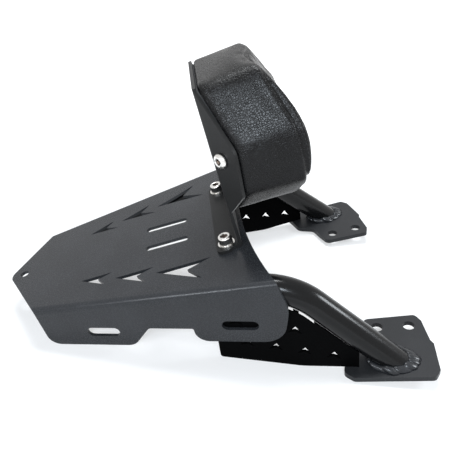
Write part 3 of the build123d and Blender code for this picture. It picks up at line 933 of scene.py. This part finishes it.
@dataclass
class Cushion:
    """The padded cushion: a swollen cover with a sewn seam round its front panel.

    The shape of the front is a table over the share of the cushion's height: how far its edge
    and its middle stand out, and half its width. Those amounts, the twist and the far draw are
    in millimetres.
    """

    cover: GrainedCover = GrainedCover("grained_cover")
    thread: PlainStuff = PlainStuff(
        "thread", (0.003, 0.003, 0.003), (0.010, 0.010, 0.011), 0.7, 0.5 * MM
    )
    voxel: float = 2.9 * MM
    draw_in: float = 0.6 * MM
    swell_cap: float = 2.6 * MM
    held: float = 3.0 * MM
    loosening: float = 24 * MM
    pressure: float = 4.0
    last_frame: int = 14
    shares: tuple[float, ...] = (0.0, 0.08, 0.30, 0.50, 0.70, 0.85, 1.0)
    edge_out: tuple[float, ...] = (2.0, 2.8, 2.9, 2.4, 4.2, 4.2, 3.6)
    middle_out: tuple[float, ...] = (0.5, 1.8, 2.0, 0.0, -7.0, -6.0, -1.5)
    half_shares: tuple[float, ...] = (0.0, 0.20, 0.56, 1.0)
    half_widths: tuple[float, ...] = (56.0, 74.5, 72.0, 42.0)
    twist: float = 3.6
    far_draw: float = 5.0
    far_from: float = 0.45
    far_span: float = 0.3
    crown: float = 7.2 * MM
    crown_from: float = 0.72
    crown_span: float = 0.28
    smooth_turns: int = 3
    seam_rays: int = 240
    seam_start: float = 0.3
    seam_span: float = 0.92
    seam_neighbours: int = 8
    seam_band: float = 4 * MM
    seam_front: float = 0.97
    seam_step: float = 1.0 * MM
    seam_behind: float = 5.0 * MM
    seam_depth: float = 1.7 * MM
    seam_width: float = 1.7 * MM
    seam_blocks: int = 12
    lip_share: float = 0.45
    lip_at: float = 4.5 * MM
    lip_width: float = 2.6 * MM
    stitch_step: float = 4.2 * MM
    stitch_length: float = 2.9 * MM
    stitch_radius: float = 0.38 * MM
    stitch_offset: float = 2.6 * MM
    stitch_rise: float = 0.1 * MM
    stitch_dive: float = 0.35 * MM
    ahead: np.ndarray = field(default_factory=lambda: along_deck(0.0))
    up: np.ndarray = field(default_factory=lambda: along_deck(90.0))

    def padding(self) -> bpy.types.Object:
        """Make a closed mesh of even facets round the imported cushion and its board.

        The facets of both are taken together and remeshed. Each point is then drawn in along
        its normal, except on the back, where the cover lies flat on the bracket.

        Returns:
            The cover, not yet swollen.
        """
        corners, facets, start = [], [], 0
        for node in ("backrest_pad", "backrest_board"):
            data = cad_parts[node].data
            corners.append(mesh_points(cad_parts[node]))
            facets += [[start + v for v in p.vertices] for p in data.polygons]
            start += len(data.vertices)
        mesh = bpy.data.meshes.new("cushion_cover")
        mesh.from_pydata(np.vstack(corners).tolist(), [], facets)
        thing = new_thing("cushion_cover", mesh)
        remesh = thing.modifiers.new("facets", "REMESH")
        remesh.mode = "VOXEL"
        remesh.voxel_size = self.voxel
        self.apply(thing)
        normals = mesh_normals(thing)
        inward = self.draw_in * np.clip(1.6 * (normals @ self.ahead) + 1.4, 0.0, 1.0)
        set_points(thing, mesh_points(thing) - inward[:, None] * normals)
        return thing

    @staticmethod
    def apply(thing: bpy.types.Object) -> None:
        """Replace a piece's mesh by its evaluated mesh and drop its modifiers.

        Args:
            thing: The piece.
        """
        graph = bpy.context.evaluated_depsgraph_get()
        mesh = bpy.data.meshes.new_from_object(thing.evaluated_get(graph))
        thing.modifiers.clear()
        thing.data = mesh

    @staticmethod
    def distances(node: str, points: np.ndarray) -> np.ndarray:
        """Give each point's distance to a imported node."""
        tree = surface_tree(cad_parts[node])
        return np.array([tree.find_nearest(Vector(p))[3] for p in points])

    def swell(self, thing: bpy.types.Object) -> None:
        """Blow the cover up as cloth, and cap how far each point moves.

        A point's move is scaled down to the cap. Near the bracket and the board it is held, and
        it loosens with the distance from them, so that the back stays flat on its plate.

        Args:
            thing: The cover.
        """
        rest = mesh_points(thing)
        near = np.minimum(
            self.distances("backrest_bracket", rest), self.distances("backrest_board", rest)
        )
        loose = np.clip((near - self.held) / self.loosening, 0.0, 1.0)
        cloth = thing.modifiers.new("swell", "CLOTH")
        cloth.settings.quality = 5
        cloth.settings.mass = 0.3
        cloth.settings.use_pressure = True
        cloth.settings.uniform_pressure_force = self.pressure
        cloth.settings.effector_weights.gravity = 0.0
        cloth.settings.tension_stiffness = 12.0
        cloth.settings.bending_stiffness = 3.0
        cloth.collision_settings.use_collision = False
        cloth.point_cache.frame_start = 1
        cloth.point_cache.frame_end = self.last_frame
        for step in range(1, self.last_frame + 1):
            bpy.context.scene.frame_set(step)
        self.apply(thing)
        bpy.context.scene.frame_set(1)
        move = mesh_points(thing) - rest
        far = np.linalg.norm(move, axis=1)
        scale = np.minimum(1.0, self.swell_cap / np.maximum(far, 1e-9)) * loose
        set_points(thing, rest + move * scale[:, None])
        log.info("cushion: swell up to %.1f mm", (far * scale).max() / MM)

    def stuff(self, thing: bpy.types.Object) -> None:
        """Shape the front and the crown.

        A point moves ahead by the edge's or the middle's amount at its share of the height,
        blended by the square of its share of the half width, times its share of the depth
        squared. The two sides differ by a slight twist, and the far side's upper part is drawn
        back. The top rises by the crown times the share of the depth, growing over the crown's
        span of the height by the power 1.5.

        Args:
            thing: The cover.
        """
        points = mesh_points(thing)
        depth, height = points @ self.ahead, points @ self.up
        deep = (depth - depth.min()) / np.ptp(depth)
        high = (height - height.min()) / np.ptp(height)
        wide = points[:, 1] / (MM * np.interp(high, self.half_shares, self.half_widths))
        wide = np.clip(wide, -1.0, 1.0)
        upper = np.clip((high - self.far_from) / self.far_span, 0.0, 1.0)
        edge = np.interp(high, self.shares, self.edge_out) - self.twist * wide * high
        edge -= self.far_draw * np.clip(wide, 0.0, 1.0) * upper
        middle = np.interp(high, self.shares, self.middle_out)
        out = MM * (middle + (edge - middle) * wide**2) * deep**2
        top = np.clip((high - self.crown_from) / self.crown_span, 0.0, 1.0)
        rise = self.crown * deep * top**1.5
        set_points(thing, points + out[:, None] * self.ahead + rise[:, None] * self.up)

    def seam_line(self, thing: bpy.types.Object) -> np.ndarray:
        """Find the seam round the front panel.

        A ring of rays runs square to the cushion's depth, from outside to its middle. Each lies
        the set distance behind the front of the band at its level, averaged over its neighbours
        on both sides. The front is a quantile of the depth, and the levels span most of the
        height. Where a ray meets the cover lies a point of the seam.

        Args:
            thing: The cover.

        Returns:
            The seam's points in order, of shape (n, 3).
        """
        tree = surface_tree(thing)
        points = mesh_points(thing)
        ahead, up = self.ahead, self.up
        depth, height = points @ ahead, points @ up
        middle = (height.min() + height.max()) / 2
        half = (height.max() - height.min()) / 2
        angles = np.linspace(0.0, 2 * math.pi, self.seam_rays, endpoint=False)
        levels = middle + half * self.seam_span * np.sin(angles)
        bands = [depth[np.abs(height - z) < self.seam_band] for z in levels]
        edges = [np.quantile(band, self.seam_front) for band in bands]
        beside = range(-self.seam_neighbours, self.seam_neighbours + 1)
        edges = np.mean([np.roll(edges, k) for k in beside], axis=0) - self.seam_behind
        seam = []
        for angle, edge in zip(angles, edges):
            out = np.array([0.0, math.cos(angle), 0.0]) + math.sin(angle) * up
            start = up * middle + ahead * edge + self.seam_start * out
            hit = tree.ray_cast(Vector(start), Vector(-out))[0]
            seam.append(np.array(hit) if hit is not None else start)
        return even_steps(np.array(seam), self.seam_step)

    def sew(self, thing: bpy.types.Object, seam: np.ndarray) -> None:
        """Pull the cover in along the seam.

        Each point moves inwards by the seam depth times a bell curve of its distance to the
        seam, and the lip on either side is lifted by a share of that depth and a wider bell.
        The seam is taken in blocks, to save memory.

        Args:
            thing: The cover.
            seam: The seam's points, of shape (n, 3).
        """
        points, normals = mesh_points(thing), mesh_normals(thing)
        gap = np.full(len(points), 1.0)
        for block in np.array_split(np.arange(len(seam)), self.seam_blocks):
            apart = np.linalg.norm(points[:, None, :] - seam[None, block, :], axis=2)
            gap = np.minimum(gap, apart.min(axis=1))
        groove = self.seam_depth * np.exp(-((gap / self.seam_width) ** 2))
        lip = np.exp(-(((gap - self.lip_at) / self.lip_width) ** 2))
        lift = self.lip_share * self.seam_depth * lip
        set_points(thing, points + (lift - groove)[:, None] * normals)

    def stitches(self, thing: bpy.types.Object, seam: np.ndarray) -> Surface:
        """Lay a row of stitches beside the seam, on the front panel's rim.

        Each stitch is a small ellipsoid: its long axis lies along the seam, and its ends dive
        into the cover by the square of the distance from its middle.

        Args:
            thing: The cover.
            seam: The seam's points, of shape (n, 3).

        Returns:
            The stitches as one surface.
        """
        line = even_steps(seam, self.stitch_step)
        along = np.roll(line, -1, axis=0) - np.roll(line, 1, axis=0)
        along = along / np.linalg.norm(along, axis=1, keepdims=True)
        tree = surface_tree(thing)
        seats = [tree.find_nearest(Vector(p + self.ahead * self.stitch_offset)) for p in line]
        middle = np.array([s[0] for s in seats])
        up = np.array([s[1] for s in seats])
        u = np.linspace(0.0, math.pi, 7)[:, None]
        v = np.linspace(0.0, 2 * math.pi, 6, endpoint=False)[None, :]
        x = -0.5 * self.stitch_length * np.cos(u) + 0 * v
        y = self.stitch_radius * np.sin(u) * np.cos(v)
        z = self.stitch_radius * np.sin(u) * np.sin(v) + self.stitch_rise
        z = z - self.stitch_dive * (2 * x / self.stitch_length) ** 2
        shape = np.stack([x, y, z], axis=-1)
        side = np.cross(up, along)
        side = side / np.linalg.norm(side, axis=1, keepdims=True)
        turns = np.stack([np.cross(side, up), side, up], axis=2)
        laid = np.einsum("kab,uvb->kuva", turns, shape) + middle[:, None, None, :]
        one = Surface.grid(shape, wrap_rows=False, wrap_columns=True)
        count = len(middle)
        steps = (np.arange(count) * len(one.points))[:, None, None]
        quads = (one.quads[None] + steps).reshape(-1, 4)
        log.info("cushion: %d stitches", count)
        return Surface(laid.reshape(-1, 3), quads, np.zeros(len(quads), dtype=int))

    def build(self) -> None:
        """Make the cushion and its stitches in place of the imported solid.

        The stuffed cover is smoothed and each facet divided once before the seam is sewn.
        """
        cover = self.padding()
        self.swell(cover)
        self.stuff(cover)
        even = cover.modifiers.new("even", "SMOOTH")
        even.factor, even.iterations = 0.5, self.smooth_turns
        divide = cover.modifiers.new("round", "SUBSURF")
        divide.levels = divide.render_levels = 1
        self.apply(cover)
        seam = self.seam_line(cover)
        self.sew(cover, seam)
        facets = len(cover.data.polygons)
        cover.data.polygons.foreach_set("use_smooth", np.ones(facets, dtype=bool))
        cover.data.materials.clear()
        cover.data.materials.append(self.cover.material())
        stitches = self.stitches(cover, seam).piece("cushion_stitches", [self.thread.material()])
        for piece in (cover, stitches):
            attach(piece, BODY)
        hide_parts("backrest_pad")
        log.info("cushion: cover of %d facets", facets)


# ---------------------------------------------------------------- the studio


def seen_ray(tree: bpy.types.NodeTree) -> Socket:
    """Tell the rays that see the background from those that light the object.

    Args:
        tree: Node tree of a material or a world.

    Returns:
        Socket with 1 for camera, glossy and transmission rays, and 0 for all others.
    """
    rays = tree.nodes.new("ShaderNodeLightPath")
    seen = rays.outputs["Is Camera Ray"]
    for kind in ("Is Glossy Ray", "Is Transmission Ray"):
        either = tree.nodes.new("ShaderNodeMath")
        either.operation = "MAXIMUM"
        tree.links.new(seen, either.inputs[0])
        tree.links.new(rays.outputs[kind], either.inputs[1])
        seen = either.outputs[0]
    return seen


@dataclass(frozen=True)
class SoftBox:
    """A rectangular lamp with its place, its width and height, its watts and its tint."""

    name: str
    at: tuple[float, float, float]
    size: tuple[float, float]
    watts: float
    tint: Colour

    def hang(self, target: tuple[float, float, float]) -> None:
        """Hang the lamp so that it faces the target.

        Args:
            target: The point that it faces.
        """
        data = bpy.data.lights.new(self.name, "AREA")
        data.shape = "RECTANGLE"
        data.size, data.size_y = self.size
        data.energy, data.color = self.watts, self.tint
        turn = (Vector(target) - Vector(self.at)).to_track_quat("-Z", "Y").to_matrix()
        thing = new_thing(self.name, data)
        thing.matrix_world = Matrix.Translation(self.at) @ turn.to_4x4()


@dataclass
class Studio:
    """The pale floor, the soft lamps and the camera.

    The floor glows for the rays that see it, from the near glow round the rack to the far glow
    outside. The camera's angles are in degrees.
    """

    camera_at: tuple[float, float, float] = (-169.75 * MM, -467.76 * MM, 394.24 * MM)
    yaw: float = -1.404
    pitch: float = 33.156
    roll: float = -7.981
    focal_pixels: float = 543.6
    frame_pixels: float = 460.0
    sensor: float = 36.0
    floor_colour: Colour = (0.50, 0.50, 0.50)
    floor_half: float = 4.0
    floor_lines: int = 41
    floor_flat: float = 3.0
    floor_fall: float = 0.02
    floor_gap: float = 0.1 * MM
    heel_clear: float = 50 * MM
    glow_centre: tuple[float, float, float] = (-0.19, 0.0, 0.0)
    glow_from: float = 0.24
    glow_to: float = 0.60
    glow_near: float = 0.50
    glow_far: float = 0.95
    sky_tint: Colour = (0.95, 0.98, 1.0)
    sky_light: float = 0.24
    target: tuple[float, float, float] = (-0.18, 0.0, 0.08)
    lamps: tuple[SoftBox, ...] = (
        SoftBox("key", (-0.18, -1.00, 0.86), (0.40, 0.26), 10.0, (0.82, 0.91, 1.0)),
        SoftBox("front", (1.10, -0.10, 0.50), (0.40, 0.28), 8.0, (0.90, 0.95, 1.0)),
        SoftBox("top", (0.0, 0.35, 1.50), (0.65, 0.40), 19.0, (0.95, 0.98, 1.0)),
        SoftBox("edge", (-0.85, -0.83, 0.74), (0.36, 0.24), 5.0, (0.88, 0.93, 1.0)),
    )

    def rest_plane(self) -> tuple[np.ndarray, np.ndarray]:
        """Find the plane that the rack stands on, from the feet's heels to the tail.

        It turns about the feet's rear bottom edge until it touches the deck, so its slope is
        the least height over the distance behind that edge. What lies closer than the heel's
        clearance isn't asked.

        Returns:
            A point of the plane and its normal.
        """
        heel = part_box("left_foot_plate")[0][0]
        deck = mesh_points(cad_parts["rack_deck"])
        behind = deck[deck[:, 0] < heel - self.heel_clear]
        slope = float((behind[:, 2] / (heel - behind[:, 0])).min())
        normal = np.array([slope, 0.0, 1.0])
        return np.array([heel, 0.0, 0.0]), normal / np.linalg.norm(normal)

    def floor(self) -> None:
        """Lay the floor as a grid that falls away by a square law far outside the view."""
        point, normal = self.rest_plane()
        turn = frame_on_axis(normal)
        span = np.linspace(-self.floor_half, self.floor_half, self.floor_lines)
        x, y = np.meshgrid(span, span, indexing="ij")
        far = np.clip(np.hypot(x, y) - self.floor_flat, 0.0, None)
        flat = np.stack([x, y, -self.floor_fall * far**2 - self.floor_gap], axis=-1)
        surface = Surface.grid(point + flat @ turn.T, wrap_rows=False, wrap_columns=False)
        shade = Shading("pale_floor")
        shade.set(
            Base_Color=(*self.floor_colour, 1.0),
            Roughness=0.9,
            Specular_IOR_Level=0.1,
            Emission_Color=(*WHITE, 1.0),
        )
        away = shade.tree.nodes.new("ShaderNodeVectorMath")
        away.operation = "DISTANCE"
        shade.join(shade.place, away.inputs[0])
        away.inputs[1].default_value = self.glow_centre
        glow = shade.spread(
            away.outputs["Value"], self.glow_from, self.glow_to, self.glow_near, self.glow_far
        )
        glow = shade.combine("MULTIPLY", seen_ray(shade.tree), glow)
        shade.join(glow, shade.surface.inputs["Emission Strength"])
        surface.piece("studio_floor", [shade.material])

    def sky(self) -> None:
        """Light the scene evenly, with a white backdrop for the rays that see it."""
        world = bpy.data.worlds.new("studio")
        bpy.context.scene.world = world
        world.use_nodes = True
        tree = world.node_tree
        tree.nodes.clear()
        output = tree.nodes.new("ShaderNodeOutputWorld")
        mix = tree.nodes.new("ShaderNodeMixShader")
        tree.links.new(seen_ray(tree), mix.inputs["Fac"])
        for place, tint, strength in ((1, self.sky_tint, self.sky_light), (2, WHITE, 1.0)):
            light = tree.nodes.new("ShaderNodeBackground")
            light.inputs["Color"].default_value = (*tint, 1.0)
            light.inputs["Strength"].default_value = strength
            tree.links.new(light.outputs[0], mix.inputs[place])
        tree.links.new(mix.outputs[0], output.inputs["Surface"])

    def camera(self) -> None:
        """Set the camera from its yaw, pitch and roll.

        Its back vector is (sin yaw cos pitch, -cos yaw cos pitch, sin pitch), its right vector
        is level before the roll, and the focal length is the pixel value over the frame's width
        times the sensor's.
        """
        yaw, pitch, roll = (math.radians(a) for a in (self.yaw, self.pitch, self.roll))
        back = Vector(
            (math.sin(yaw) * math.cos(pitch), -math.cos(yaw) * math.cos(pitch), math.sin(pitch))
        )
        right = Vector((math.cos(yaw), math.sin(yaw), 0.0))
        up = back.cross(right)
        turned_right = math.cos(roll) * right + math.sin(roll) * up
        turned_up = -math.sin(roll) * right + math.cos(roll) * up
        turn = Matrix((turned_right, turned_up, back)).transposed().to_4x4()
        data = bpy.data.cameras.new("camera")
        data.sensor_width = self.sensor
        data.lens = self.sensor * self.focal_pixels / self.frame_pixels
        data.clip_start, data.clip_end = 0.01, 50.0
        thing = new_thing("camera", data)
        thing.matrix_world = Matrix.Translation(self.camera_at) @ turn
        bpy.context.scene.camera = thing

    def build(self) -> None:
        """Set up the floor, the light and the camera."""
        bpy.context.scene.view_settings.view_transform = "Standard"
        self.floor()
        self.sky()
        for lamp in self.lamps:
            lamp.hang(self.target)
        self.camera()
        log.info("studio: floor, lamps and camera set")


def main() -> None:
    """Set up logging and the studio, then build the pieces in order."""
    logging.basicConfig(level=logging.INFO, format="%(name)s: %(message)s")
    bpy.context.scene.render.fps = 24
    Studio().build()
    for assembly in (Rack(), FootWelds(), Fasteners(), Backrest(), Cushion()):
        assembly.build()


if __name__ == "__main__":
    main()
